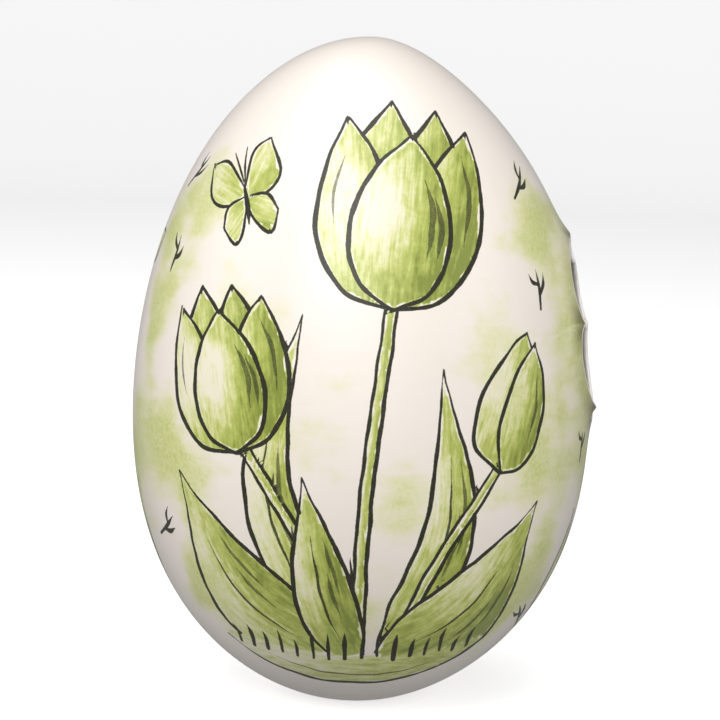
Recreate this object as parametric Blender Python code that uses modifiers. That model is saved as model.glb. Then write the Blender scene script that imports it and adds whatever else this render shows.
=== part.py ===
"""Hand-painted ceramic easter egg: one hollow fired shell with a torn opening in its side.

Metres, +Z up. The origin is the centre of the flat foot, the painted front faces -Y,
and the opening faces +X, turned a little toward the front.
"""

import math

import bmesh
import bpy
from mathutils import Vector

# The egg's curve, before its foot is ground flat
EGG_HEIGHT = 0.2000
EGG_RADIUS = 0.0682
FULLNESS = (-0.101, 0.077, -0.030, -0.130)  # of the radius, by powers 1 to 4 of the height
UNEVENNESS = (0.005, -0.036, -0.068)  # of the radius toward +X, by powers 2 to 4 of the height
FOOT_CUT = 0.0021  # ground off the round bottom, which leaves a foot 30 mm across

# The wall
WALL = 0.0038
LIP = 0.0014  # at the torn edge, where the clay was pulled thin
LIP_RUN = 0.0070  # how far from the edge the wall is still thinner
BASE_EXTRA = 0.0026  # more clay under the hollow, where the egg stands
BASE_RUN = 0.0200

# The torn opening
MOUTH_HEIGHT = 0.1180  # of its middle, above the round bottom
MOUTH_TURN = math.radians(-3.5)  # from +X toward the front
SIDE_SPAN = 0.0685  # surface length for one radian sideways, at the opening
UP_SPAN = 0.0950  # surface length for one radian upward, at the opening
CURL_RUN = 0.0045  # how far from the edge a lip starts to curl
CURL_POWER = 1.3
SCALLOP_POWER = 0.75
SCALLOP_SKEW = 0.75

# One tear for each pointed tip, round the opening from the top by way of the front:
# direction in degrees, reach from the middle to the tip, curl of the tip, and then the
# depth and curl of the scallop that runs from this tip to the next
TEARS = (
    (10, 0.0240, 0.0015, 0.0042, 0.0020),
    (85, 0.0205, 0.0032, 0.0022, 0.0022),
    (150, 0.0265, 0.0031, 0.0020, 0.0009),
    (200, 0.0260, 0.0016, 0.0032, 0.0028),
    (260, 0.0155, 0.0027, 0.0042, 0.0033),
    (320, 0.0215, 0.0020, 0.0030, 0.0018),
)

# Facets
COLUMNS = 72
RINGS = 30
RING_POWER = 1.45  # rings lie closer together toward the torn edge

GLAZE_COLOUR = (0.91, 0.87, 0.80, 1.0)
GLAZE_ROUGHNESS = 0.3


def clear_scene():
    """Remove whatever the file already holds."""
    for thing in list(bpy.data.objects):
        bpy.data.objects.remove(thing, do_unlink=True)


def new_collection(name):
    """A collection under the scene's own."""
    group = bpy.data.collections.new(name)
    bpy.context.scene.collection.children.link(group)
    return group


def move_to(thing, group):
    """Leave an object in one collection only."""
    for old in list(thing.users_collection):
        old.objects.unlink(thing)
    group.objects.link(thing)


def glazed_ceramic():
    """White clear-glazed earthenware."""
    material = bpy.data.materials.new("glazed_ceramic")
    material.use_nodes = True
    shader = material.node_tree.nodes["Principled BSDF"]
    shader.inputs["Base Color"].default_value = GLAZE_COLOUR
    shader.inputs["Roughness"].default_value = GLAZE_ROUGHNESS
    shader.inputs["Metallic"].default_value = 0.0
    return material


def egg_point(spot):
    """Where a point of the unit sphere lies on the egg.

    The height follows the sphere's. The radius is the sphere's, made fuller low down by
    a series in the height, and a little uneven from side to side, as a hand-made egg is.
    """
    height = spot.z
    across = math.hypot(spot.x, spot.y)
    toward_x = spot.x / across if across > 1e-9 else 0.0
    full = 1.0 + sum(k * height ** (i + 1) for i, k in enumerate(FULLNESS))
    full += toward_x * sum(k * height ** (i + 2) for i, k in enumerate(UNEVENNESS))
    radius = EGG_RADIUS * full
    level = EGG_HEIGHT / 2 * (1.0 + height) - FOOT_CUT
    return Vector((radius * spot.x, radius * spot.y, level))


def mouth_frame():
    """The unit sphere's direction at the middle of the opening, with up and front there."""
    height = 2.0 * MOUTH_HEIGHT / EGG_HEIGHT - 1.0
    level = math.sqrt(1.0 - height * height)
    middle = Vector((level * math.cos(MOUTH_TURN), level * math.sin(MOUTH_TURN), height))
    up = (Vector((0, 0, 1)) - middle * height).normalized()
    front = middle.cross(up)
    return middle, up, front


def torn_edge(direction):
    """Reach and curl of the torn edge in a direction, given in degrees."""
    turn = (direction - TEARS[0][0]) % 360 + TEARS[0][0]
    ends = TEARS[1:] + ((TEARS[0][0] + 360,) + TEARS[0][1:],)
    for tear, end in zip(TEARS, ends):
        if turn < end[0]:
            break
    along = (turn - tear[0]) / (end[0] - tear[0])
    scallop = math.sin(math.pi * along**SCALLOP_SKEW) ** SCALLOP_POWER
    reach = tear[1] + (end[1] - tear[1]) * along + tear[3] * scallop
    curl = (tear[2] + (end[2] - tear[2]) * along) * (1.0 - scallop) + tear[4] * scallop
    return reach, curl


def wall_at(distance, level):
    """Thickness of the wall, from the distance to the torn edge and the height."""
    from_lip = 1.0 - math.exp(-((distance / LIP_RUN) ** 2))
    at_base = math.exp(-((max(level, 0.0) / BASE_RUN) ** 2))
    return LIP + (WALL - LIP) * from_lip + BASE_EXTRA * at_base


def shape_outside(mesh, wall_group_of):
    """Carry an open unit sphere, whose hole is round +Z, on to the egg.

    Its first ring becomes the torn edge and its far pole the opposite side. Near the edge
    each point then moves out along the egg's normal, which curls the lip.
    """
    middle, up, front = mouth_frame()
    first = math.pi / RINGS
    curls = {}
    walls = {}
    for vertex in mesh.verts:
        polar = math.acos(max(-1.0, min(1.0, vertex.co.z)))
        direction = math.atan2(vertex.co.y, vertex.co.x)
        reach, curl = torn_edge(round(math.degrees(direction), 3))
        side_share = math.sin(direction) / SIDE_SPAN
        up_share = math.cos(direction) / UP_SPAN
        per_metre = math.hypot(side_share, up_share)
        share = ((polar - first) / (math.pi - first)) ** RING_POWER if polar > first else 0.0
        edge = reach * per_metre
        angle = edge + (math.pi - edge) * share
        heading = (up * up_share + front * side_share) / per_metre
        distance = (angle - edge) / per_metre
        vertex.co = egg_point(middle * math.cos(angle) + heading * math.sin(angle))
        curls[vertex.index] = curl * math.exp(-((distance / CURL_RUN) ** CURL_POWER))
        walls[vertex.index] = wall_at(distance, vertex.co.z)
    mesh.normal_update()
    normals = {vertex.index: vertex.normal.copy() for vertex in mesh.verts}
    for vertex in mesh.verts:
        vertex.co += normals[vertex.index] * curls[vertex.index]
        vertex[wall_group_of][0] = walls[vertex.index] / (WALL + BASE_EXTRA)


def make_egg_shell(group, cutters):
    """The egg: an open surface with the torn edge, given its wall and ground flat below."""
    bpy.ops.mesh.primitive_uv_sphere_add(segments=COLUMNS, ring_count=RINGS, radius=1.0)
    shell = bpy.context.object
    shell.name = "egg_shell"
    shell.data.name = "egg_shell"
    move_to(shell, group)
    shell.vertex_groups.new(name="wall")

    mesh = bmesh.new()
    mesh.from_mesh(shell.data)
    pole = max(mesh.verts, key=lambda vertex: vertex.co.z)
    bmesh.ops.delete(mesh, geom=[pole], context="VERTS")
    mesh.verts.index_update()
    shape_outside(mesh, mesh.verts.layers.deform.verify())
    mesh.to_mesh(shell.data)
    mesh.free()

    wall = shell.modifiers.new("wall", "SOLIDIFY")
    wall.thickness = WALL + BASE_EXTRA
    wall.offset = -1.0
    wall.vertex_group = "wall"
    wall.thickness_vertex_group = 0.0
    wall.use_rim = True

    bpy.ops.mesh.primitive_cube_add(size=EGG_RADIUS, location=(0, 0, -EGG_RADIUS / 2))
    ground = bpy.context.object
    ground.name = "foot_cutter"
    move_to(ground, cutters)
    ground.hide_render = True
    ground.display_type = "WIRE"

    foot = shell.modifiers.new("foot", "BOOLEAN")
    foot.operation = "DIFFERENCE"
    foot.object = ground

    shell.data.materials.append(glazed_ceramic())
    shell.data.shade_smooth()
    shell.data.set_sharp_from_angle(angle=math.radians(50))
    return shell


clear_scene()
make_egg_shell(new_collection("easter_egg"), new_collection("cutters"))
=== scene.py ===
"""A hand-painted easter egg of white glazed earthenware, hollow, with a torn opening in its side.

Metres, +Z up. The egg stands on its foot at the origin, its painted front faces -Y and its
opening faces +X. The whole egg is one fired piece, so it is one mesh: the sections below follow
the maker, who casts and tears the body, paints it, glazes it and sets it down to be seen.
"""

import math

import bpy
import numpy as np
from mathutils import Matrix


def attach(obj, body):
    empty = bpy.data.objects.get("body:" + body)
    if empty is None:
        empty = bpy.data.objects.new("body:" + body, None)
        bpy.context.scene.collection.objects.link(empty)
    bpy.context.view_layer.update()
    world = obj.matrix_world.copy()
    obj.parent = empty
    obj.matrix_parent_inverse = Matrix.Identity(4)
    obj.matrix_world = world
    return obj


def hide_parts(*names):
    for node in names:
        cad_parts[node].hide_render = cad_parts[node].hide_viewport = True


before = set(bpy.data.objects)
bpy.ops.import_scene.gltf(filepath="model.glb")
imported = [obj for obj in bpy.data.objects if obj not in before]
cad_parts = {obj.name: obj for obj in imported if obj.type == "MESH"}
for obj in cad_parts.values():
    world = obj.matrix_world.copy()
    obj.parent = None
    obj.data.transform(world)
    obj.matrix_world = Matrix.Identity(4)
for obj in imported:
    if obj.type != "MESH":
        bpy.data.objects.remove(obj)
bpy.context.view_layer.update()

# The cast body
# The egg is slip-cast in white earthenware, a wall of about 4 mm, a little fuller on one side
# as hand-finished ones are, and its foot is ground flat so that it stands.
MM = 0.001
EGG_HEIGHT = 200.0 * MM
EGG_RADIUS = 68.2 * MM
FULLNESS = (-0.101, 0.077, -0.030, -0.130)  # of the radius, by powers 1 to 4 of the height
UNEVENNESS = (0.005, -0.036, -0.068)  # of the radius toward +X, by powers 2 to 4 of the height
FOOT_CUT = 2.1 * MM
FOOT_ROUNDING = 0.25 * MM
WALL = 3.8 * MM
BASE_EXTRA = 2.6 * MM  # more clay under the hollow, where the slip pooled
BASE_RUN = 20.0 * MM


def egg_surface(spots):
    """Points of the unit sphere carried on to the egg.

    The height follows the sphere's, and the radius is the sphere's times a series in the
    height, with a second series times the cosine of the direction round the egg.
    """
    height = spots[..., 2]
    across = np.maximum(np.hypot(spots[..., 0], spots[..., 1]), 1e-9)
    full = 1.0 + sum(k * height ** (i + 1) for i, k in enumerate(FULLNESS))
    lean = sum(k * height ** (i + 2) for i, k in enumerate(UNEVENNESS))
    radius = EGG_RADIUS * (full + lean * spots[..., 0] / across)
    level = EGG_HEIGHT / 2 * (1.0 + height) - FOOT_CUT
    return np.stack([radius * spots[..., 0], radius * spots[..., 1], level], -1)


def ground_flat(points):
    """The height raised to the ground: half of height plus the root of height and rounding squared."""
    level = points[..., 2]
    raised = 0.5 * (level + np.sqrt(level**2 + FOOT_ROUNDING**2))
    return np.concatenate([points[..., :2], raised[..., None]], -1)


# The torn opening
# Before the clay was dry, one side was pushed through and torn from inside, so that the edge
# runs in scallops from tip to tip and each tip curls outward, thin and a little ragged.
MOUTH_HEIGHT = 118.0 * MM  # of its middle, above the round bottom
MOUTH_TURN = math.radians(-3.5)  # from +X toward the front
SIDE_SPAN = 68.5 * MM  # surface length for one radian sideways, at the opening
UP_SPAN = 95.0 * MM  # surface length for one radian upward, at the opening
LIP = 1.4 * MM
LIP_RUN = 7.0 * MM
CURL_RUN = 3.8 * MM
FAR_CURL_RUN = 3.2 * MM  # as much longer on the far side, where the lip flares more gently
CURL_POWER = 1.2
SCALLOP_POWER = 0.75
SCALLOP_SKEW = 0.75
TIP_DIRECTIONS = np.array([10.0, 85.0, 150.0, 200.0, 260.0, 320.0])  # degrees, 0 up, 90 front
TIP_REACH = np.array([24.0, 20.5, 26.5, 26.0, 15.5, 21.5]) * MM
TIP_CURL = np.array([1.5, 3.2, 3.1, 1.6, 2.7, 2.0]) * MM
SCALLOP_DEPTH = np.array([4.2, 2.2, 2.0, 3.2, 4.2, 3.0]) * MM
SCALLOP_CURL = np.array([2.0, 2.2, 0.9, 2.8, 3.3, 1.8]) * MM
RAGGED = 0.22 * MM  # unevenness of the torn edge
RAGGED_WAVES = (9, 14, 23, 37)


def torn_edge(turn):
    """Reach and curl of the torn edge, for directions in degrees.

    Between two tips the values run evenly, and a scallop, the sine of the share of the way
    skewed by a power, is added to the reach and takes the place of the tips' curl.
    """
    turn = (turn - TIP_DIRECTIONS[0]) % 360.0 + TIP_DIRECTIONS[0]
    first = np.searchsorted(TIP_DIRECTIONS, turn, side="right") - 1
    after = (first + 1) % len(TIP_DIRECTIONS)
    gap = (TIP_DIRECTIONS[after] - TIP_DIRECTIONS[first]) % 360.0
    along = (turn - TIP_DIRECTIONS[first]) / gap
    scallop = np.sin(np.pi * along**SCALLOP_SKEW) ** SCALLOP_POWER
    ragged = sum(np.sin(np.radians(turn) * n + n * n) for n in RAGGED_WAVES) / len(RAGGED_WAVES)
    reach = TIP_REACH[first] * (1 - along) + TIP_REACH[after] * along
    curl = TIP_CURL[first] * (1 - along) + TIP_CURL[after] * along
    reach = reach + SCALLOP_DEPTH[first] * scallop + RAGGED * ragged
    return reach, curl * (1 - scallop) + SCALLOP_CURL[first] * scallop


# The mesh
# One closed grid: its columns go round the opening and its rows run from the middle of the
# inside over the torn lip to the far side of the outside. Columns lie closer at the front.
COLUMNS = 380
COLUMN_CROWDING = 0.4
OUTER_ROWS = 205
OUTER_POWER = 1.15
RIM_ROWS = 7
INNER_ROWS = 34
INNER_POWER = 1.6


def unit(vectors):
    """Vectors divided by their lengths."""
    return vectors / np.maximum(np.linalg.norm(vectors, axis=-1, keepdims=True), 1e-12)


def wall_surface(shares, turns):
    """The outside of the wall, by share of the way from the torn edge and direction round it.

    A point lies on the great circle from the opening's middle along its heading, at an angle
    from the edge's to half a turn, and moves out by the curl times exp(-(distance / run)^power).
    Returns the points, the uncurled egg's normals under them and their distance to the edge.
    """
    height = 2.0 * MOUTH_HEIGHT / EGG_HEIGHT - 1.0
    level = math.sqrt(1.0 - height * height)
    middle = np.array([level * math.cos(MOUTH_TURN), level * math.sin(MOUTH_TURN), height])
    up = unit(np.array([0.0, 0.0, 1.0]) - middle * height)
    front = np.cross(middle, up)
    reach, curl = torn_edge(np.degrees(turns))
    side_share = np.sin(turns) / SIDE_SPAN
    up_share = np.cos(turns) / UP_SPAN
    per_metre = np.hypot(side_share, up_share)
    heading = (up_share[:, None] * up + side_share[:, None] * front) / per_metre[:, None]
    edge = reach * per_metre
    angle = edge + (np.pi - edge) * shares[:, None]
    spots = np.cos(angle)[..., None] * middle + np.sin(angle)[..., None] * heading
    tangent = np.cos(angle)[..., None] * heading - np.sin(angle)[..., None] * middle
    sideways = np.cross(spots, tangent)
    small = 1e-4
    along = egg_surface(unit(spots + small * tangent)) - egg_surface(unit(spots - small * tangent))
    round_it = egg_surface(unit(spots + small * sideways)) - egg_surface(unit(spots - small * sideways))
    normals = unit(np.cross(along, round_it))
    distance = (angle - edge) / per_metre
    run = CURL_RUN + FAR_CURL_RUN * np.maximum(-np.sin(turns), 0.0)
    curled = curl * np.exp(-((distance / run) ** CURL_POWER))
    points = egg_surface(spots) + normals * curled[..., None]
    return points, normals, distance


def curled_normals(points, flat_normals):
    """Normals of the curled wall: the cross product of its row and column differences."""
    down_rows = np.gradient(points, axis=0)
    round_columns = (np.roll(points, -1, axis=1) - np.roll(points, 1, axis=1)) / 2
    normals = np.cross(down_rows, round_columns)
    good = np.linalg.norm(normals, axis=-1, keepdims=True) > 1e-12
    return np.where(good, unit(normals), flat_normals)


def thickness(distance, level):
    """The wall, thinner by a bell toward the lip and thicker by a bell toward the base."""
    from_lip = 1.0 - np.exp(-((distance / LIP_RUN) ** 2))
    at_base = np.exp(-((np.maximum(level, 0.0) / BASE_RUN) ** 2))
    return LIP + (WALL - LIP) * from_lip + BASE_EXTRA * at_base


even = np.arange(COLUMNS) * 2.0 * np.pi / COLUMNS
turns = even - COLUMN_CROWDING * np.sin(even - np.pi / 2)

outer_shares = np.linspace(0.0, 1.0, OUTER_ROWS + 1)[:-1] ** OUTER_POWER
outer, _, outer_distance = wall_surface(outer_shares, turns)
outer = ground_flat(outer)

inner_shares = np.linspace(0.0, 1.0, INNER_ROWS + 1)[:-1] ** INNER_POWER
facing, facing_flat, inner_distance = wall_surface(inner_shares, turns)
inner_normals = curled_normals(facing, facing_flat)
inner_wall = thickness(inner_distance, facing[..., 2])
inner = facing - inner_normals * inner_wall[..., None]

lip_middle = (outer[0] + inner[0]) / 2
lip_outward = unit(outer[0] - inner[0])
lip_round = np.roll(outer[0], -1, axis=0) - np.roll(outer[0], 1, axis=0)
lip_forward = unit(np.cross(lip_outward, lip_round))
lip_half = np.linalg.norm(outer[0] - inner[0], axis=-1, keepdims=True) / 2
rim_angles = np.linspace(-np.pi / 2, np.pi / 2, RIM_ROWS + 2)[1:-1]
rim = (
    lip_middle
    + np.sin(rim_angles)[:, None, None] * lip_half * lip_outward
    + np.cos(rim_angles)[:, None, None] * lip_half * lip_forward
)

far_points, far_normals, far_distance = wall_surface(np.array([1.0]), turns[:1])
far_wall = thickness(far_distance, far_points[..., 2])
outer_pole = ground_flat(far_points)[0, 0]
inner_pole = (far_points - far_normals * far_wall[..., None])[0, 0]

rings = np.concatenate([inner[::-1], rim, outer])
ROWS = len(rings)
points = np.concatenate([rings.reshape(-1, 3), [inner_pole, outer_pole]])
row, column = np.meshgrid(np.arange(ROWS - 1), np.arange(COLUMNS), indexing="ij")
beside = (column + 1) % COLUMNS
quads = np.stack(
    [
        row * COLUMNS + column,
        (row + 1) * COLUMNS + column,
        (row + 1) * COLUMNS + beside,
        row * COLUMNS + beside,
    ],
    -1,
).reshape(-1, 4)
ring = np.arange(COLUMNS)
ring_beside = (ring + 1) % COLUMNS
inner_fan = np.stack([ring, ring_beside, np.full(COLUMNS, ROWS * COLUMNS)], -1)
last = (ROWS - 1) * COLUMNS
outer_fan = np.stack([last + ring_beside, last + ring, np.full(COLUMNS, ROWS * COLUMNS + 1)], -1)

shell_mesh = bpy.data.meshes.new("painted_egg")
shell_mesh.from_pydata(points.tolist(), [], quads.tolist() + inner_fan.tolist() + outer_fan.tolist())
shell_mesh.shade_smooth()
INNER_CHART = (0.01, 0.15)  # share of the texture's width for the inside, and then for the outside
OUTER_CHART = (0.17, 0.99)
row_chart = np.interp(
    np.arange(ROWS), [0, INNER_ROWS - 1, ROWS - OUTER_ROWS, ROWS - 1], [*INNER_CHART, *OUTER_CHART]
)
quad_charts = np.stack([
    row_chart[row], column / COLUMNS, row_chart[row + 1], column / COLUMNS,
    row_chart[row + 1], (column + 1) / COLUMNS, row_chart[row], (column + 1) / COLUMNS,
], -1)
edge_low = np.full(COLUMNS, INNER_CHART[0])
edge_high = np.full(COLUMNS, OUTER_CHART[1])
start, middle, end = ring / COLUMNS, (ring + 0.5) / COLUMNS, (ring + 1) / COLUMNS
inner_charts = np.stack([edge_low, start, edge_low, end, 0 * edge_low, middle], -1)
outer_charts = np.stack([edge_high, end, edge_high, start, np.ones(COLUMNS), middle], -1)
bake_map = shell_mesh.uv_layers.new(name="OFBake")
bake_map.data.foreach_set(
    "uv", np.concatenate([quad_charts.ravel(), inner_charts.ravel(), outer_charts.ravel()])
)
egg = bpy.data.objects.new("painted_egg", shell_mesh)
bpy.context.scene.collection.objects.link(egg)

# The drawing, in the painter's own measure
# On the fired biscuit the painter works in millimetres: across, round the egg from the middle
# of the side that is being painted, and up from the table.
TURN = 2.0 * np.pi
CLEAR = 60.0  # mm, farther than any brush reaches
LINE_PITCH = 1.0  # mm between the points that a line is worked out at
REACH = 3.5  # mm round a brush line within which its distance is wanted
SWAY_WAVES = (7.0, 24.0)  # mm, the shortest and the longest waves of an unsteady hand
PRESS_WAVES = (4.0, 15.0)  # mm, the same for how hard it presses
PRESS_SHARE = 0.16  # of a line's width, by which the press changes it
END_SHARE = 0.22  # of a line's length, over which each end swells to the full width
END_RUN = 2.0  # mm, the least that it swells over
FINEST = 0.05  # mm, the least half width
FINE_ENDS = (0.1, 0.1)  # share of the width at both ends of a stroke that is drawn out fine

hand = np.random.default_rng(24)


def girth_radius(up):
    """The egg's mean radius in mm at a height in mm."""
    height = 2.0 * (up * MM + FOOT_CUT) / EGG_HEIGHT - 1.0
    level = np.sqrt(np.maximum(1.0 - height**2, 1e-4))
    full = 1.0 + sum(k * height ** (i + 1) for i, k in enumerate(FULLNESS))
    return EGG_RADIUS / MM * full * level


def on_egg(chart, side):
    """Chart places in mm carried to the egg, in mm: the way across is an angle times the radius."""
    angle = side + chart[..., 0] / girth_radius(chart[..., 1])
    height = 2.0 * (chart[..., 1] * MM + FOOT_CUT) / EGG_HEIGHT - 1.0
    level = np.sqrt(np.maximum(1.0 - height**2, 0.0))
    return egg_surface(np.stack([level * np.sin(angle), -level * np.cos(angle), height], -1)) / MM


def chart_of(places, side):
    """The chart places in mm of points in mm on the egg, round one painted side."""
    angle = np.arctan2(places[..., 0], -places[..., 1]) - side
    angle = (angle + np.pi) % TURN - np.pi
    return np.stack([angle * girth_radius(places[..., 2]), places[..., 2]], -1)


def through(places, pitch=LINE_PITCH):
    """A smooth line through a few places.

    Between two places runs the cubic whose ends lean as the chord of their neighbours does.
    """
    places = np.asarray(places, float)
    ends = np.concatenate([[2 * places[0] - places[1]], places, [2 * places[-1] - places[-2]]])
    runs = []
    for a, b, c, d in zip(ends[:-3], ends[1:-2], ends[2:-1], ends[3:]):
        count = max(2, int(np.linalg.norm(c - b) / pitch) + 1)
        t = np.linspace(0.0, 1.0, count, endpoint=False)[:, None]
        square = (2 * a - 5 * b + 4 * c - d) * t**2
        runs.append(0.5 * (2 * b + (c - a) * t + square + (3 * b - a - 3 * c + d) * t**3))
    return np.concatenate(runs + [places[-1:]])


def lengths_along(line):
    """The way travelled along a line up to each of its points."""
    return np.concatenate([[0.0], np.cumsum(np.linalg.norm(np.diff(line, axis=0), axis=-1))])


def rightward(line):
    """Unit vectors square to a line, toward the right of its course."""
    lean = np.gradient(line, axis=0)
    return unit(np.stack([lean[:, 1], -lean[:, 0]], -1))


def thinned(line, count):
    """About as many of a line's points as the count, evenly taken, and its last."""
    step = max(1, len(line) // count)
    return np.concatenate([line[:-1:step], line[-1:]])


def unsteady(way, shortest, longest):
    """The mean of three sine waves along a way, each of a drawn length and phase."""
    waves = [(hand.uniform(shortest, longest), hand.uniform(0.0, TURN)) for _ in range(3)]
    return sum(np.sin(way * TURN / wave + phase) for wave, phase in waves) / 3


def nearest_on(line, shown, places):
    """The nearest point of a broken line to each place.

    Each place is dropped square on every shown piece, kept between its ends, and the nearest
    is taken. Returns the offset from it, the distance and the position counted in points.
    """
    start = line[:-1][shown]
    run = np.diff(line, axis=0)[shown]
    square = np.maximum((run**2).sum(-1), 1e-12)
    offset = places[:, None, :] - start
    share = np.clip((offset * run).sum(-1) / square, 0.0, 1.0)
    gap = offset - share[..., None] * run
    best = (gap**2).sum(-1).argmin(1)
    pick = np.arange(len(places))
    position = np.flatnonzero(shown)[best] + share[pick, best]
    return gap[pick, best], np.sqrt((gap[pick, best] ** 2).sum(-1)), position


def inside(outline, places):
    """Whether places lie in a closed outline: an odd number of its sides crosses the way out."""
    a = outline
    b = np.roll(outline, -1, axis=0)
    level = places[:, None, 1]
    crosses = (a[:, 1] > level) != (b[:, 1] > level)
    rise = np.where(np.abs(b[:, 1] - a[:, 1]) < 1e-9, 1e-9, b[:, 1] - a[:, 1])
    at = a[:, 0] + (level - a[:, 1]) / rise * (b[:, 0] - a[:, 0])
    return (crosses & (places[:, None, 0] < at)).sum(1) % 2 == 1


class PaintedSide:
    """The washes and brush lines on one side of the egg, in the order they are painted."""

    def __init__(self, degrees):
        self.side = math.radians(degrees)
        self.lines = []
        self.washes = []

    def hide_under(self, outline):
        """What is already drawn inside an outline is behind it."""
        for brush in self.lines:
            middles = (brush["line"][1:] + brush["line"][:-1]) / 2
            brush["shown"] &= ~inside(outline, middles)

    def line(self, places, width=1.3, ends=(0.45, 0.3), load=1.0, deck=0, wobble=0.22):
        """A brush line through places, its width swelling from its ends and a little unsteady."""
        line = through(places)
        way = lengths_along(line)
        line = line - wobble * unsteady(way, *SWAY_WAVES)[:, None] * rightward(line)
        press = 1.0 + PRESS_SHARE * unsteady(way, *PRESS_WAVES)
        swell = max(END_RUN, END_SHARE * way[-1])
        press -= (1.0 - ends[0]) * np.exp(-((way / swell) ** 2))
        press -= (1.0 - ends[1]) * np.exp(-(((way[-1] - way) / swell) ** 2))
        shown = np.ones(len(line) - 1, bool)
        half = np.maximum(width / 2 * press, FINEST)
        self.lines.append(dict(line=line, half=half, load=load, deck=deck, shown=shown))

    def wash(self, runs, spine, half, body=0.6, lean=0.15, shine=(-0.4, 0.6), depth=0.45, foot=0.1):
        """A wash in a closed outline of smooth runs, laid along a spine.

        Its tone is the body's plus lean times the share across, less a bell of the given depth
        at the shine, a place by share across and along, plus foot times the share still to go.
        """
        outline = np.concatenate([through(run) for run in runs])
        self.hide_under(outline)
        tone = dict(body=body, lean=lean, shine=shine, depth=depth, foot=foot)
        self.washes.append(dict(outline=outline, spine=through(spine), half=half, tone=tone))


def placed(places, at, turn, size):
    """Places of a small drawing, made size times as big, turned clockwise by degrees and moved."""
    angle = -math.radians(turn)
    places = np.asarray(places, float) * size
    x = places[:, 0] * math.cos(angle) - places[:, 1] * math.sin(angle)
    y = places[:, 0] * math.sin(angle) + places[:, 1] * math.cos(angle)
    return np.stack([x, y], -1) + at


TULIP_LINE = 1.5  # mm, the width of the brush lines
BUD_LINE = 1.35
SHADE_LOAD = 0.62  # of the ink, in the strokes that shade a petal
TULIP_WIDE = 36.0  # mm, the width of a tulip whose shading strokes are as broad as listed

# Petal outlines of a tulip one wide, each a run from its base to the tip and a run back
TULIP_BACK_LEFT = [
    [(-0.34, 0.62), (-0.30, 0.86), (-0.12, 1.10)],
    [(-0.12, 1.10), (0.02, 0.90), (0.04, 0.60)],
]
TULIP_BACK_RIGHT = [
    [(-0.02, 0.62), (0.02, 0.88), (0.17, 1.07)],
    [(0.17, 1.07), (0.32, 0.84), (0.34, 0.58)],
]
TULIP_LEFT = [
    [(0.02, 0.0), (-0.30, 0.08), (-0.49, 0.36), (-0.47, 0.72), (-0.37, 1.00)],
    [(-0.37, 1.00), (-0.20, 0.82), (-0.08, 0.55), (0.02, 0.0)],
]
TULIP_RIGHT = [
    [(0.0, 0.0), (0.06, 0.52), (0.20, 0.80), (0.40, 0.97)],
    [(0.40, 0.97), (0.50, 0.70), (0.49, 0.34), (0.28, 0.07), (0.0, 0.0)],
]
TULIP_FRONT = [
    [(0.0, 0.0), (-0.22, 0.14), (-0.30, 0.42), (-0.19, 0.73), (0.02, 0.93)],
    [(0.02, 0.93), (0.22, 0.71), (0.31, 0.40), (0.22, 0.12), (0.0, 0.0)],
]


def petal(side, placing, outline, middle, half, width, deck, *tone):
    """A petal: a wash laid along its middle, and a brush line from its base up each edge."""
    up, down = (placed(run, *placing) for run in outline)
    side.wash([up, down], placed(middle, *placing), half, *tone)
    side.line(up, width, (0.7, 0.5), 1.0, deck)
    side.line(down[::-1], width, (0.7, 0.5), 1.0, deck)


def tulip(side, at, turn, wide, high):
    """An open tulip: two petals behind, one at each side, one in front."""
    placing = (at, turn, np.array([wide, high]))
    petals = (
        (TULIP_BACK_LEFT, [(-0.12, 0.55), (-0.12, 1.10)], 0.16, 0, 0.66, 0.10, (-0.5, 0.8), 0.2),
        (TULIP_BACK_RIGHT, [(0.16, 0.55), (0.17, 1.07)], 0.16, 1, 0.74, 0.12, (-0.5, 0.8), 0.2),
        (TULIP_LEFT, [(-0.20, 0.0), (-0.34, 1.0)], 0.22, 2, 0.62, 0.22, (-0.2, 0.55), 0.55),
        (TULIP_RIGHT, [(0.22, 0.0), (0.36, 1.0)], 0.20, 0, 0.80, 0.16, (-0.6, 0.72), 0.40),
        (TULIP_FRONT, [(0.0, 0.0), (0.01, 0.93)], 0.30, 1, 0.70, 0.24, (-0.35, 0.56), 0.66),
    )
    for outline, middle, half, deck, *tone in petals:
        petal(side, placing, outline, middle, half * wide, TULIP_LINE, deck, *tone)
    strokes = (
        ([(0.12, 0.70), (0.19, 0.52), (0.17, 0.28)], 1.5, 0),
        ([(0.19, 0.62), (0.25, 0.45), (0.23, 0.27)], 1.3, 2),
        ([(0.36, 0.84), (0.42, 0.62), (0.40, 0.36)], 1.2, 2),
        ([(-0.36, 0.80), (-0.41, 0.60), (-0.39, 0.42)], 0.7, 0),
    )
    for stroke, width, deck in strokes:
        side.line(placed(stroke, *placing), width * wide / TULIP_WIDE, FINE_ENDS, SHADE_LOAD, deck)


def bud(side, at, turn, wide, high):
    """A closed bud: one petal wrapped over another, and a stroke that shades it."""
    placing = (at, turn, np.array([wide, high]))
    back = [
        [(0.0, 0.0), (-0.40, 0.16), (-0.46, 0.50), (-0.22, 0.86), (-0.02, 1.0)],
        [(-0.02, 1.0), (0.20, 0.80), (0.30, 0.45), (0.0, 0.0)],
    ]
    front = [
        [(0.0, 0.0), (-0.14, 0.34), (-0.06, 0.70), (0.14, 0.95)],
        [(0.14, 0.95), (0.42, 0.66), (0.46, 0.32), (0.30, 0.08), (0.0, 0.0)],
    ]
    for outline, middle, deck, body in (
        (back, [(-0.2, 0.0), (-0.1, 1.0)], 0, 0.55),
        (front, [(0.14, 0.0), (0.16, 0.95)], 1, 0.70),
    ):
        petal(side, placing, outline, middle, 0.28 * wide, BUD_LINE, deck, body, 0.22, (-0.4, 0.6), 0.4)
    stroke = placed([(0.26, 0.74), (0.34, 0.5), (0.30, 0.26)], *placing)
    side.line(stroke, 1.1, FINE_ENDS, SHADE_LOAD, 2)


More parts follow.
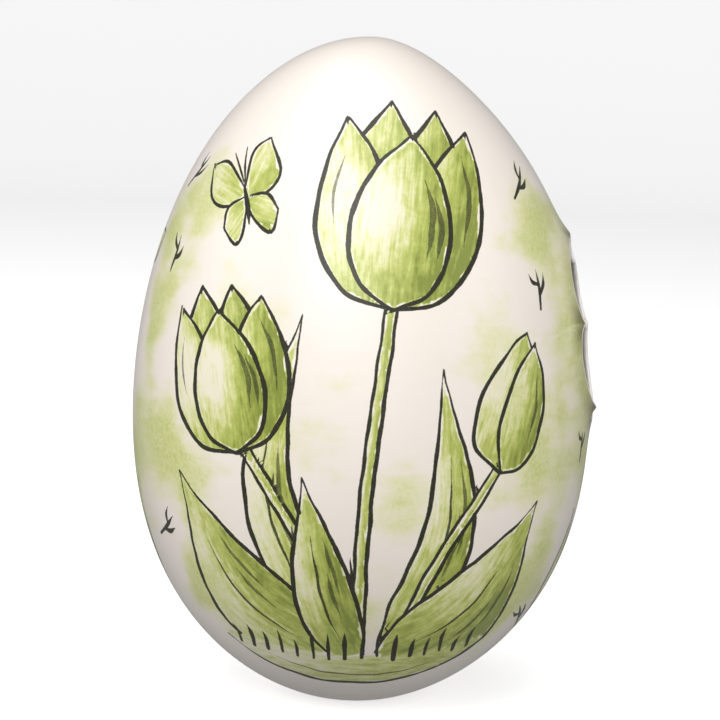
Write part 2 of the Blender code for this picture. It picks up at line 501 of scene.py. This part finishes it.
def leaf(side, base, bow, tip, breadth, body=0.62, width=1.4, veins=True):
    """A long leaf from base to tip, bowed through a place.

    Its half width is a sine of the share of the way, skewed so that it is widest below the
    middle, on top of a narrow foot, times one less the sixth power of the share at the tip.
    """
    spine = through([base, bow, tip])
    share = lengths_along(spine) / lengths_along(spine)[-1]
    half = breadth / 2 * (0.16 + 0.84 * np.sin(np.pi * share**0.72)) * (1.0 - share**6)
    outward = rightward(spine) * half[:, None]
    right = thinned(spine + 1.08 * outward, 7)
    left = thinned(spine - 0.92 * outward, 7)
    side.wash([left, right[::-1]], [base, bow, tip], breadth / 2, body, 0.2, (-0.5, 0.6), 0.42)
    side.line(left, width, (0.5, 0.35))
    side.line(right, width, (0.6, 0.35), 1.0, 1)
    if veins:
        count = len(spine)
        middle = spine[int(0.16 * count):int(0.86 * count):max(1, count // 7)]
        side.line(middle, 0.9, FINE_ENDS, 0.9, 2)
        for start, end, off, deck in ((0.30, 0.60, 0.40, 0), (0.40, 0.74, 0.62, 2)):
            stroke = (spine + off * outward)[int(start * count):int(end * count)]
            side.line(stroke[:: max(1, len(stroke) // 4)], 1.2, FINE_ENDS, 0.6, deck)


def stem(side, places, breadth):
    """A stem of two lines with a wash between them."""
    spine = through(places)
    outward = rightward(spine) * breadth / 2
    left = thinned(spine - outward, 6)
    right = thinned(spine + outward, 6)
    side.wash([left, right[::-1]], places, breadth / 2, 0.62, 0.25, (-0.6, 0.5), 0.2, 0.0)
    side.line(left, 1.1, (0.7, 0.7), 1.0, 1)
    side.line(right, 1.3, (0.7, 0.7), 1.0, 2)


def butterfly(side, at, turn, wide):
    """A butterfly with its wings half open, each wing a run to its tip and a run back."""
    wings = (
        (0, 0.50, [(0.02, 0.10), (-0.18, 0.42), (-0.48, 0.48)],
         [(-0.48, 0.48), (-0.50, 0.12), (-0.24, -0.02), (0.02, 0.02)]),
        (1, 0.56, [(0.02, 0.10), (0.20, 0.44), (0.46, 0.52)],
         [(0.46, 0.52), (0.50, 0.16), (0.26, -0.01), (0.02, 0.02)]),
        (1, 0.62, [(0.0, 0.02), (-0.26, -0.03), (-0.36, -0.22)],
         [(-0.36, -0.22), (-0.22, -0.42), (-0.06, -0.24), (0.0, -0.02)]),
        (0, 0.68, [(0.0, 0.02), (0.28, -0.01), (0.38, -0.20)],
         [(0.38, -0.20), (0.24, -0.40), (0.07, -0.24), (0.0, -0.02)]),
    )
    for deck, tone, *runs in wings:
        up, back = (placed(run, at, turn, wide) for run in runs)
        side.wash([up, back], [up[0], up[-1]], 0.2 * wide, tone, 0.1, (0.0, 0.7), 0.3)
        side.line(up, 1.05, (0.4, 0.6), 1.0, deck)
        side.line(back, 1.05, (0.6, 0.4), 1.0, deck)
    body = placed([(0.0, -0.26), (0.01, 0.0), (0.02, 0.16)], at, turn, wide)
    side.line(body, 1.7, (0.3, 0.5), 1.0, 3)
    side.line(placed([(0.01, 0.16), (-0.02, 0.34), (-0.08, 0.50)], at, turn, wide), 0.7, (0.6, 0.5), 1.0, 2)
    side.line(placed([(0.03, 0.16), (0.06, 0.35), (0.12, 0.51)], at, turn, wide), 0.7, (0.6, 0.5), 1.0, 3)


def sprig(side, at, turn, size=1.0):
    """A loose sprig: a short bent stroke with a blade to each side."""
    for stroke, width, deck in (
        ([(-1.2, -5.0), (0.2, 0.0), (0.6, 4.6)], 1.3, 0),
        ([(0.0, -1.6), (2.2, 0.0), (3.2, 2.6)], 1.7, 1),
        ([(0.2, 0.8), (-1.8, 2.2), (-2.5, 4.6)], 1.5, 2),
    ):
        side.line(placed(stroke, at, turn, size), width, (0.7, 0.1), 1.0, deck, 0.05)


def mound(side, wide, low, high, ticks):
    """A grassy mound: a wash over a brush line for its foot, with short ticks of grass on it."""
    top = [(share * wide / 2, high - 4.5 * math.cos(share * 1.5)) for share in np.linspace(-1, 1, 7)]
    foot = [(share * wide / 2, low + (high - low - 2.5) * share**2) for share in np.linspace(1, -1, 7)]
    spine = [(-wide / 2, high - 6), (wide / 2, high - 6)]
    side.wash([top, foot], spine, 7.0, 0.62, 0.0, (0.0, 0.25), 0.3, -0.22)
    side.line(foot[::-1], 1.5, (0.3, 0.3))
    side.line([(x + 1.0, y + 3.4) for x, y in foot[5:0:-1]], 0.9, FINE_ENDS, 0.7, 1)
    for number in range(ticks):
        share = (number + 0.5) / ticks * 2 - 1
        x = share * wide * 0.46 + hand.uniform(-0.25, 0.25)
        y = high - 5.5 + 3.0 * share**2 + hand.uniform(-1.5, 0.5)
        tall = hand.uniform(5.0, 11.0) * (1.1 - 0.4 * abs(share))
        side.line([(x, y), (x + share, y + 0.6 * tall), (x + 3.2 * share, y + tall)],
                  hand.uniform(1.0, 1.7), (0.8, 0.05), 1.0, 3)


# The drawing on the front
# Two open tulips and a bud stand in a grassy mound between long leaves, under a butterfly. What
# is nearer is painted later, and its wash hides the lines that it covers.
front_side = PaintedSide(0.0)
leaf(front_side, (-5, 24), (-27, 74), (-17, 122), 16, 0.52)
leaf(front_side, (8, 24), (26, 62), (23, 108), 16, 0.66)
stem(front_side, [(1, 20), (2, 70), (8, 128)], 3.4)
stem(front_side, [(-4, 20), (-14, 54), (-35, 86)], 3.2)
stem(front_side, [(9, 20), (23, 52), (42, 80)], 3.0)
tulip(front_side, (8, 124), 4, 48, 51)
tulip(front_side, (-36, 82), -13, 40, 43)
bud(front_side, (42, 78), 14, 26, 40)
leaf(front_side, (-5, 22), (-35, 40), (-58, 74), 25, 0.6)
leaf(front_side, (7, 22), (34, 37), (58, 68), 26, 0.74)
leaf(front_side, (1, 19), (-9, 40), (-16, 77), 17, 0.72)
mound(front_side, 82, 11.5, 27.0, 16)
butterfly(front_side, (-37, 152), -18, 27)
sprig(front_side, (-67, 135), 10, 1.15)
sprig(front_side, (57, 129), -20, 1.15)
sprig(front_side, (-66, 56), 40, 1.15)
sprig(front_side, (60, 30), -35, 1.15)
sprig(front_side, (53, 158), 30, 1.15)

# The drawing on the back and the sides
# The painter carries the same tulips, leaves and sprigs round the egg, with more white between
# them, and keeps clear of the torn opening on the right.
back_side = PaintedSide(180.0)
leaf(back_side, (-3, 30), (-20, 66), (-30, 96), 13, 0.6)
stem(back_side, [(0, 28), (3, 70), (-3, 112)], 3.0)
tulip(back_side, (-3, 108), -5, 38, 42)
leaf(back_side, (2, 24), (24, 48), (34, 84), 16, 0.7)
leaf(back_side, (0, 22), (-18, 40), (-38, 58), 14, 0.66)
mound(back_side, 58, 14.0, 26.0, 11)
sprig(back_side, (34, 130), -25, 1.15)
sprig(back_side, (-40, 120), 20, 1.15)
sprig(back_side, (-34, 84), -15, 1.15)
sprig(back_side, (44, 50), 30, 1.15)
sprig(back_side, (14, 170), 10, 1.15)

left_side = PaintedSide(-95.0)
stem(left_side, [(2, 28), (6, 52), (0, 78)], 2.4)
bud(left_side, (0, 76), -6, 20, 30)
leaf(left_side, (2, 24), (15, 42), (20, 66), 12, 0.68)
leaf(left_side, (1, 22), (-12, 36), (-24, 50), 11, 0.6)
mound(left_side, 36, 15.0, 24.0, 8)
butterfly(left_side, (4, 132), 20, 22)
sprig(left_side, (-16, 108), -20, 1.1)
sprig(left_side, (22, 158), 15, 1.1)
sprig(left_side, (-24, 76), 30, 1.1)

right_side = PaintedSide(88.0)
leaf(right_side, (-2, 22), (-14, 38), (-16, 62), 11, 0.66, veins=False)
leaf(right_side, (2, 20), (14, 36), (22, 58), 12, 0.72, veins=False)
leaf(right_side, (0, 20), (-2, 40), (4, 68), 10, 0.62, veins=False)
mound(right_side, 38, 12.0, 21.0, 6)
sprig(right_side, (6, 160), 15, 1.1)
sprig(right_side, (-20, 82), -15, 1.1)
sprig(right_side, (27, 84), 20, 1.1)


# The paint on the shell
# Each point of the outside keeps where the nearest brush line lies, how broad it is there and
# how loaded the brush was, and how far inside a wash it is, so that the glaze can show them.
skin = outer.reshape(-1, 3) / MM
row_gap = np.linalg.norm(np.gradient(outer, axis=0), axis=-1)
column_gap = np.linalg.norm(np.roll(outer, -1, axis=1) - outer, axis=-1)
SLACK = 0.4  # of the way across one of the mesh's faces, corner to corner
slack = SLACK * np.hypot(row_gap, column_gap).ravel() / MM


def within_reach(outline, chart):
    """Which chart places lie in the box round an outline, made larger by the reach."""
    low = outline.min(0) - REACH
    high = outline.max(0) + REACH
    return np.flatnonzero(((chart > low) & (chart < high)).all(-1))


def paint_lines(sides, deck):
    """The nearest brush line to each point: offset in mm, and half width, distance and load.

    The distance is kept less part of the way to the mesh's next point, so that a line finer than
    the mesh stays whole where the distance is run evenly between the points beside it.
    """
    offset = np.full((len(skin), 3), CLEAR)
    brush = np.tile([0.0, CLEAR, 1.0], (len(skin), 1))
    best = np.full(len(skin), CLEAR)
    for side in sides:
        chart = chart_of(skin, side.side)
        for mark in side.lines:
            if mark["deck"] != deck or not mark["shown"].any():
                continue
            near = within_reach(mark["line"], chart)
            course = on_egg(mark["line"], side.side)
            gap, distance, position = nearest_on(course, mark["shown"], skin[near])
            half = np.interp(position, np.arange(len(mark["half"])), mark["half"])
            nearer = distance - half < best[near]
            at = near[nearer]
            best[at] = (distance - half)[nearer]
            offset[at] = gap[nearer]
            far = distance - slack[near]
            brush[at] = np.stack([half, far, np.full(len(half), mark["load"])], -1)[nearer]
    return offset, brush


SHINE_WIDE = 0.70  # of a petal's half width, where the wash is left thin
SHINE_LONG = 0.32  # of its length
GRAIN_STEP = 7.3  # mm, which sets the streaks of one wash apart from the next one's


def paint_washes(sides):
    """How far in mm each point is inside a wash, its tone, and its place across and along."""
    depth = np.full(len(skin), -CLEAR)
    tone = np.zeros(len(skin))
    grain = np.zeros((len(skin), 3))
    for side in sides:
        chart = chart_of(skin, side.side)
        for number, wash in enumerate(side.washes):
            outline = wash["outline"]
            near = within_reach(outline, chart)
            closed = np.concatenate([outline, outline[:1]])
            every = np.ones(len(closed) - 1, bool)
            distance = nearest_on(on_egg(closed, side.side), every, skin[near])[1]
            within = inside(outline, chart[near])
            spine = wash["spine"]
            gap, _, position = nearest_on(spine, np.ones(len(spine) - 1, bool), chart[near])
            lean = np.diff(spine, axis=0)[np.minimum(position.astype(int), len(spine) - 2)]
            right = unit(np.stack([lean[:, 1], -lean[:, 0]], -1))
            across = (gap * right).sum(-1)
            way = lengths_along(spine)
            along = np.interp(position, np.arange(len(spine)), way) + (gap * unit(lean)).sum(-1)
            share_across = across / wash["half"]
            share_along = along / way[-1]
            how = wash["tone"]
            beside_shine = (share_across - how["shine"][0]) / SHINE_WIDE
            along_shine = (share_along - how["shine"][1]) / SHINE_LONG
            bell = np.exp(-(beside_shine**2) - along_shine**2)
            laid = how["body"] + how["lean"] * share_across - how["depth"] * bell
            laid = laid + how["foot"] * (1.0 - share_along)
            signed = np.where(within, distance, -distance)
            take = within | ((depth[near] < 0) & (signed > depth[near]))
            at = near[take]
            depth[at] = signed[take]
            tone[at] = laid[take]
            grain[at] = np.stack([across, along, np.full(len(along), GRAIN_STEP * number)], -1)[take]
    return depth, tone, grain


PALE_ROWS = ((44.0, 8), (80.0, 11), (116.0, 10), (149.0, 8))  # mm up, and how many patches go round
PALE_WIDE = (13.0, 23.0)  # mm, the least and the greatest half width of a patch
PALE_HIGH = (11.0, 20.0)
PALE_MUCH = (0.7, 1.0)
PALE_SWAY = (5.5, 2.6)  # mm, for one radian of each wave that sways a patch across
PALE_HEAVE = (6.5, 3.1)  # mm, the same up and down
SWAY_SHARE = 0.13  # of a patch's half width
HEAVE_SHARE = 0.16  # of its half height
PALE_SHIFT = 9.0  # mm, the most that a patch lies above or below its row
PALE_SOFTNESS = 1.4  # the power of the distance squared by which a patch fades at its edge
FRONT_CLEAR = math.radians(32.0)  # each side of the front's middle, where the white is left bare
BARE_ABOVE = 112.0  # mm up, where it is most so
BARE_SHARE = 0.9  # of a patch's strength that is left out there


def paint_clouds():
    """How much pale wash lies on each point: one less the product of each patch's clear share.

    The patches go round in rows, each a little out of its place. One is exp(-r^2.8), r being the
    distance in half widths and half heights, from places that two waves sway to each side.
    """
    clear = np.ones(len(skin))
    for number, (level, count) in enumerate(PALE_ROWS):
        for patch in range(count):
            side = (patch + 0.5 * (number % 2) + hand.uniform(-0.2, 0.2)) * TURN / count
            chart = chart_of(skin, side)
            wide = hand.uniform(*PALE_WIDE)
            high = hand.uniform(*PALE_HIGH)
            phase = hand.uniform(0.0, TURN, 4)
            sway = sum(np.sin(chart[:, 1] / run + start) for run, start in zip(PALE_SWAY, phase[:2]))
            heave = sum(np.sin(chart[:, 0] / run + start) for run, start in zip(PALE_HEAVE, phase[2:]))
            middle = level + hand.uniform(-PALE_SHIFT, PALE_SHIFT)
            loose_across = chart[:, 0] / wide + SWAY_SHARE * sway
            loose_up = (chart[:, 1] - middle) / high + HEAVE_SHARE * heave
            from_front = (side + np.pi) % TURN - np.pi
            beside_front = math.exp(-((from_front / FRONT_CLEAR) ** 2))
            bare = BARE_SHARE * min(level / BARE_ABOVE, 1.0) * beside_front
            much = hand.uniform(*PALE_MUCH) * (1.0 - bare)
            clear *= 1.0 - much * np.exp(-((loose_across**2 + loose_up**2) ** PALE_SOFTNESS))
    return 1.0 - clear


def give(name, values, blank):
    """Keep values on the shell's points as an attribute, blank on the rim and the inside."""
    vector = values.ndim == 2
    kind = "FLOAT_VECTOR" if vector else "FLOAT"
    everywhere = np.zeros((len(points),) + values.shape[1:], np.float32)
    everywhere[:] = blank
    first = (ROWS - OUTER_ROWS) * COLUMNS
    everywhere[first:first + len(skin)] = values
    kept = shell_mesh.attributes.new(name, kind, "POINT")
    kept.data.foreach_set("vector" if vector else "value", everywhere.ravel())


# Painted shade: behind the curl of the torn lip the outside is darkened toward olive brown, most at the
# tips.
CREASE_RUN = 4.5  # mm from the torn edge over which shade is painted behind the curl
CREASE_SHARE = 0.42
TIP_RUN = 3.0  # the same at a tip, where the painted shade is darkest
TIP_SHARE = 0.58
TIP_WIDTH = 12.0  # degrees each side of a tip
from_tip = np.abs((np.degrees(turns)[:, None] - TIP_DIRECTIONS + 180.0) % 360.0 - 180.0).min(-1)
from_edge = outer_distance / MM
crease_shade = CREASE_SHARE * np.exp(-((from_edge / CREASE_RUN) ** 2))
crease_shade = crease_shade + TIP_SHARE * np.exp(-((from_edge / TIP_RUN) ** 2) - (from_tip / TIP_WIDTH) ** 2)
EDGE_WASH = 0.62  # one broad pale wash runs round the torn opening, this much of it at the edge
EDGE_WASH_RUN = 17.0  # mm
edge_wash = EDGE_WASH * np.exp(-((from_edge / EDGE_WASH_RUN) ** 3))
DECKS = 4  # lines that run close beside each other are kept in different decks
sides = (front_side, left_side, back_side, right_side)
for deck in range(DECKS):
    gap, brush = paint_lines(sides, deck)
    give(f"ink{deck}_gap", gap, CLEAR)
    give(f"ink{deck}_brush", brush, (0.0, CLEAR, 1.0))
depth, tone, grain = paint_washes(sides)
give("wash_depth", depth, -CLEAR)
give("wash_tone", tone, 0.0)
give("wash_grain", grain, 0.0)
give("cloud", 1.0 - (1.0 - paint_clouds()) * (1.0 - edge_wash.ravel()), 0.0)
give("crease_shade", crease_shade.ravel(), 0.0)
give("outside", np.ones(len(skin)), 0.0)

# The glaze
# Thin green washes and nearly black brush lines lie under a clear satin glaze on warm white
# clay. The brush leaves streaks, gaps at the outlines and grains, and the foot is left bare.
glaze = bpy.data.materials.new("painted_glaze")
glaze.use_nodes = True
tree = glaze.node_tree
shader = tree.nodes["Principled BSDF"]


def feed(socket, value):
    """Link a socket to another's output, or set it to a plain value."""
    if isinstance(value, bpy.types.NodeSocket):
        tree.links.new(value, socket)
    else:
        socket.default_value = value


def maths(operation, *values):
    """A maths node on sockets or numbers."""
    made = tree.nodes.new("ShaderNodeMath")
    made.operation = operation
    for socket, value in zip(made.inputs, values):
        feed(socket, value)
    return made.outputs[0]


def kept(name):
    """An attribute's node: its vector for a vector attribute, its factor for a plain one."""
    made = tree.nodes.new("ShaderNodeAttribute")
    made.attribute_name = name
    return made.outputs["Vector" if name.endswith(("gap", "brush", "grain")) else "Fac"]


def parts(vector):
    """The three parts of a vector."""
    made = tree.nodes.new("ShaderNodeSeparateXYZ")
    feed(made.inputs[0], vector)
    return made.outputs[0], made.outputs[1], made.outputs[2]


def stretched(vector, factors):
    """A vector times three factors."""
    made = tree.nodes.new("ShaderNodeVectorMath")
    made.operation = "MULTIPLY"
    feed(made.inputs[0], vector)
    made.inputs[1].default_value = factors
    return made.outputs[0]


def noise(vector, scale, detail=2.0, roughness=0.5, distortion=0.0):
    """Soft noise about one half."""
    made = tree.nodes.new("ShaderNodeTexNoise")
    feed(made.inputs["Vector"], vector)
    made.inputs["Scale"].default_value = scale
    made.inputs["Detail"].default_value = detail
    made.inputs["Roughness"].default_value = roughness
    made.inputs["Distortion"].default_value = distortion
    return made.outputs["Fac"]


def uneven(value, *textures):
    """A value with noises added, each as its distance from one half times its amount."""
    for texture, amount in textures:
        value = maths("MULTIPLY_ADD", maths("SUBTRACT", texture, 0.5), amount, value)
    return value


def ramp(value, low, high, start=0.0, end=1.0):
    """A smooth step from start to end as the value runs from low to high."""
    made = tree.nodes.new("ShaderNodeMapRange")
    made.interpolation_type = "SMOOTHSTEP"
    names = ("Value", "From Min", "From Max", "To Min", "To Max")
    for name, number in zip(names, (value, low, high, start, end)):
        feed(made.inputs[name], number)
    return made.outputs[0]


def blended(share, first, second):
    """Two colours mixed by a share."""
    made = tree.nodes.new("ShaderNodeMix")
    made.data_type = "RGBA"
    feed(made.inputs["Factor"], share)
    feed(made.inputs["A"], first)
    feed(made.inputs["B"], second)
    return made.outputs["Result"]


GLAZE_WHITE = (249, 239, 229)
GREENS = (
    (0.0, GLAZE_WHITE),
    (0.22, (234, 232, 188)),
    (0.42, (214, 218, 142)),
    (0.58, (190, 198, 102)),
    (0.76, (166, 178, 78)),
    (0.96, (134, 146, 54)),
)
INK = (40, 40, 24)
# the colour of the painted shade behind the torn lip's curl
CREASE_SHADE_COLOUR = (74, 68, 30)
BARE_CLAY = (222, 208, 190)
INSIDE_WHITE = (0.93, 0.89, 0.83, 1.0)  # as a linear colour
FULL_LIGHT = 0.884  # the share of light that a surface returns where it shows as pure white
FOOT_TONE_LOW = 0.20 * MM  # above the ground, where the bare clay begins to give way to glaze
FOOT_TONE_HIGH = 0.55 * MM


def linear(red, green, blue):
    """A display colour as the linear colour that Blender takes."""
    shares = (((level / 255 + 0.055) / 1.055) ** 2.4 for level in (red, green, blue))
    return (*(FULL_LIGHT * share for share in shares), 1.0)


place = tree.nodes.new("ShaderNodeTexCoord").outputs["Object"]
grit = noise(place, 900.0, 2.0, 0.6)
fleck = noise(place, 2200.0, 2.0, 0.6)
mottle = noise(place, 160.0, 3.0, 0.55)
drift = noise(place, 45.0, 3.0, 0.5)


def ink_of(deck):
    """How black a deck of brush lines is: inside its half width by both measures of distance."""
    length = tree.nodes.new("ShaderNodeVectorMath")
    length.operation = "LENGTH"
    feed(length.inputs[0], kept(f"ink{deck}_gap"))
    half, far, load = parts(kept(f"ink{deck}_brush"))
    spare = maths("MINIMUM", maths("SUBTRACT", half, length.outputs["Value"]),
                  maths("SUBTRACT", maths("ADD", half, 0.1), far))
    spare = uneven(spare, (grit, 0.28))
    dark = uneven(maths("MULTIPLY_ADD", load, 0.75, 0.25), (fleck, maths("MULTIPLY_ADD", load, -1.2, 1.4)))
    return maths("MULTIPLY", ramp(spare, -0.10, 0.10), dark)


ink = ink_of(0)
for deck in range(1, DECKS):
    ink = maths("MAXIMUM", ink, ink_of(deck))
ink = maths("MINIMUM", ink, 1.0)

grain_place = kept("wash_grain")
streak = noise(stretched(grain_place, (0.9, 0.10, 1.0)), 1.0, 3.0, 0.6)
comb = noise(stretched(grain_place, (0.35, 0.22, 1.0)), 1.0, 2.0, 0.5, 0.6)
gap_width = maths("MULTIPLY_ADD", comb, 3.2, -1.1)
cover = ramp(maths("SUBTRACT", kept("wash_depth"), gap_width), -0.15, 0.55)
strength = uneven(kept("wash_tone"), (streak, 0.95), (comb, 0.5), (mottle, 0.35), (grit, 0.22))
strength = maths("MAXIMUM", strength, 0.10)
wash = maths("MULTIPLY", cover, strength)

brushed = noise(stretched(place, (60.0, 60.0, 210.0)), 1.0, 3.0, 0.6, 0.8)
cloud = uneven(kept("cloud"), (drift, 1.2), (mottle, 0.5), (brushed, 0.5))
cloud = ramp(cloud, 0.20, 1.0, 0.0, 0.43)
cloud = maths("MULTIPLY", cloud, ramp(grit, 0.2, 0.8, 0.75, 1.2))
green = maths("MAXIMUM", wash, cloud)

colours = tree.nodes.new("ShaderNodeValToRGB")
feed(colours.inputs["Fac"], green)
while len(colours.color_ramp.elements) < len(GREENS):
    colours.color_ramp.elements.new(0.5)
for element, (position, colour) in zip(colours.color_ramp.elements, GREENS):
    element.position = position
    element.color = linear(*colour)
# Painted shade: the crease behind the torn lip's curl is mixed toward olive brown, unevenly by the mottle.
painted_crease_shade = maths("MULTIPLY", kept("crease_shade"), ramp(mottle, 0.3, 0.7, 0.85, 1.0))
colour = blended(painted_crease_shade, colours.outputs["Color"], linear(*CREASE_SHADE_COLOUR))
colour = blended(ink, colour, linear(*INK))
colour = blended(kept("outside"), INSIDE_WHITE, colour)
ground = ramp(parts(place)[2], FOOT_TONE_LOW, FOOT_TONE_HIGH, 1.0, 0.0)
colour = blended(ground, colour, linear(*BARE_CLAY))
feed(shader.inputs["Base Color"], colour)
satin = maths("MULTIPLY_ADD", ink, 0.08, maths("MULTIPLY_ADD", drift, 0.10, 0.26))
feed(shader.inputs["Coat Weight"], maths("MULTIPLY_ADD", ink, -0.85, 1.0))
shader.inputs["Coat Roughness"].default_value = 0.38
feed(shader.inputs["Roughness"], maths("MULTIPLY_ADD", ground, 0.45, satin))
waves = noise(place, 38.0, 2.0, 0.5)
orange = noise(place, 420.0, 2.0, 0.5)
surface = tree.nodes.new("ShaderNodeBump")
surface.inputs["Strength"].default_value = 1.0
surface.inputs["Distance"].default_value = 0.2 * MM
feed(surface.inputs["Height"], maths("MULTIPLY_ADD", orange, 0.05, waves))
feed(shader.inputs["Normal"], surface.outputs["Normal"])
shell_mesh.materials.append(glaze)

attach(egg, "root")
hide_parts("egg_shell")

# The floor, the light and the camera
# The egg stands on a plain sweep of pale paper under large soft lights, brightest from above and
# the front left, and is seen with a long lens at the photograph's height.
COVE_DISC = 0.3  # of the flat middle that is one face
COVE_FLOOR = 1.9
COVE_RADIUS = 0.8
COVE_TOP = 3.2
COVE_SIDES = 96
COVE_BENDS = 25
LENS = 132.89
SENSOR = 36.0
VIEW_DISTANCE = 0.8
VIEW_UP = math.radians(8.0)
VIEW_ROLL = -0.03139
AIM_HEIGHT = EGG_HEIGHT / 2 - FOOT_CUT
AIM_PIXEL = (362.125, 371.292)
FRAME_PIXELS = 720

bend = np.linspace(-np.pi / 2, 0.0, COVE_BENDS)
reach = COVE_FLOOR + COVE_RADIUS * np.cos(bend)
reach = np.concatenate([[COVE_DISC], reach, [COVE_FLOOR + COVE_RADIUS]])
rise = np.concatenate([[0.0], COVE_RADIUS * (1 + np.sin(bend)), [COVE_TOP]])
round_angles = np.arange(COVE_SIDES) * TURN / COVE_SIDES
cove_points = np.stack([
    reach[:, None] * np.cos(round_angles),
    reach[:, None] * np.sin(round_angles),
    np.broadcast_to(rise[:, None], (len(rise), COVE_SIDES)),
], -1).reshape(-1, 3)
ring, spoke = np.meshgrid(np.arange(len(rise) - 1), np.arange(COVE_SIDES), indexing="ij")
beside = (spoke + 1) % COVE_SIDES
cove_faces = np.stack([
    ring * COVE_SIDES + spoke, (ring + 1) * COVE_SIDES + spoke,
    (ring + 1) * COVE_SIDES + beside, ring * COVE_SIDES + beside,
], -1).reshape(-1, 4)
sweep_mesh = bpy.data.meshes.new("paper_sweep")
sweep_mesh.from_pydata(cove_points.tolist(), [], [list(range(COVE_SIDES))] + cove_faces.tolist())
sweep_mesh.shade_smooth()
sweep = bpy.data.objects.new("paper_sweep", sweep_mesh)
bpy.context.scene.collection.objects.link(sweep)
paper = bpy.data.materials.new("pale_paper")
paper.use_nodes = True
paper_shader = paper.node_tree.nodes["Principled BSDF"]
paper_shader.inputs["Base Color"].default_value = (0.82, 0.82, 0.82, 1.0)
paper_shader.inputs["Roughness"].default_value = 0.9
paper_shader.inputs["Specular IOR Level"].default_value = 0.1
paper_shader.inputs["Emission Color"].default_value = (1.0, 1.0, 1.0, 1.0)
paper_shader.inputs["Emission Strength"].default_value = 0.55
sweep_mesh.materials.append(paper)
sweep.visible_diffuse = False
sweep.visible_glossy = False


def standing(right, above, back, place):
    """The matrix of a light or camera from its right, its up, its back and its place."""
    return Matrix([[right[i], above[i], back[i], place[i]] for i in range(3)] + [[0.0, 0.0, 0.0, 1.0]])


def soft_light(name, place, size, power, lights=True, mirrored=True):
    """A square area light at a place, turned toward the middle of the egg.

    It lights the egg or not, and is mirrored in it or not.
    """
    data = bpy.data.lights.new(name, "AREA")
    data.size = size
    data.energy = power
    light = bpy.data.objects.new(name, data)
    aim = np.array([0.0, 0.0, AIM_HEIGHT]) - np.array(place)
    back = -unit(aim)
    right = unit(np.cross([0.0, 0.0, 1.0], back))
    above = np.cross(back, right)
    light.matrix_world = standing(right, above, back, place)
    light.visible_diffuse = lights
    light.visible_glossy = mirrored
    bpy.context.scene.collection.objects.link(light)


soft_light("overhead_light", (-0.12, -0.2, 1.3), 1.4, 8.2)
soft_light("key_light", (-0.3, -1.1, 0.97), 0.8, 4.3)
soft_light("glint_light", (-0.25, -1.1, 0.9), 0.9, 3.2, lights=False)
soft_light("front_light", (-0.3, -1.4, 0.3), 0.8, 4.6, mirrored=False)
soft_light("front_right_light", (0.3, -1.4, 0.35), 0.8, 4.4, mirrored=False)
soft_light("left_light", (-1.3, -0.3, 0.6), 0.9, 9.4, mirrored=False)
soft_light("right_light", (1.2, -0.6, 0.6), 0.9, 6.6, mirrored=False)

world = bpy.data.worlds.new("pale_surround")
world.use_nodes = True
surround = world.node_tree.nodes["Background"]
surround.inputs["Color"].default_value = (1.0, 1.0, 1.0, 1.0)
surround.inputs["Strength"].default_value = 0.27
bpy.context.scene.world = world

back = np.array([0.0, -math.cos(VIEW_UP), math.sin(VIEW_UP)])
level_right = np.array([1.0, 0.0, 0.0])
level_up = np.cross(back, level_right)
right = math.cos(VIEW_ROLL) * level_right - math.sin(VIEW_ROLL) * level_up
above = math.sin(VIEW_ROLL) * level_right + math.cos(VIEW_ROLL) * level_up
stand = np.array([0.0, 0.0, AIM_HEIGHT]) + VIEW_DISTANCE * back
lens = bpy.data.cameras.new("camera")
lens.lens = LENS
lens.sensor_width = SENSOR
lens.shift_x = (FRAME_PIXELS / 2 - AIM_PIXEL[0]) / FRAME_PIXELS
lens.shift_y = (AIM_PIXEL[1] - FRAME_PIXELS / 2) / FRAME_PIXELS
camera = bpy.data.objects.new("camera", lens)
camera.matrix_world = standing(right, above, back, stand)
bpy.context.scene.collection.objects.link(camera)
bpy.context.scene.camera = camera
bpy.context.scene.view_settings.view_transform = "Standard"
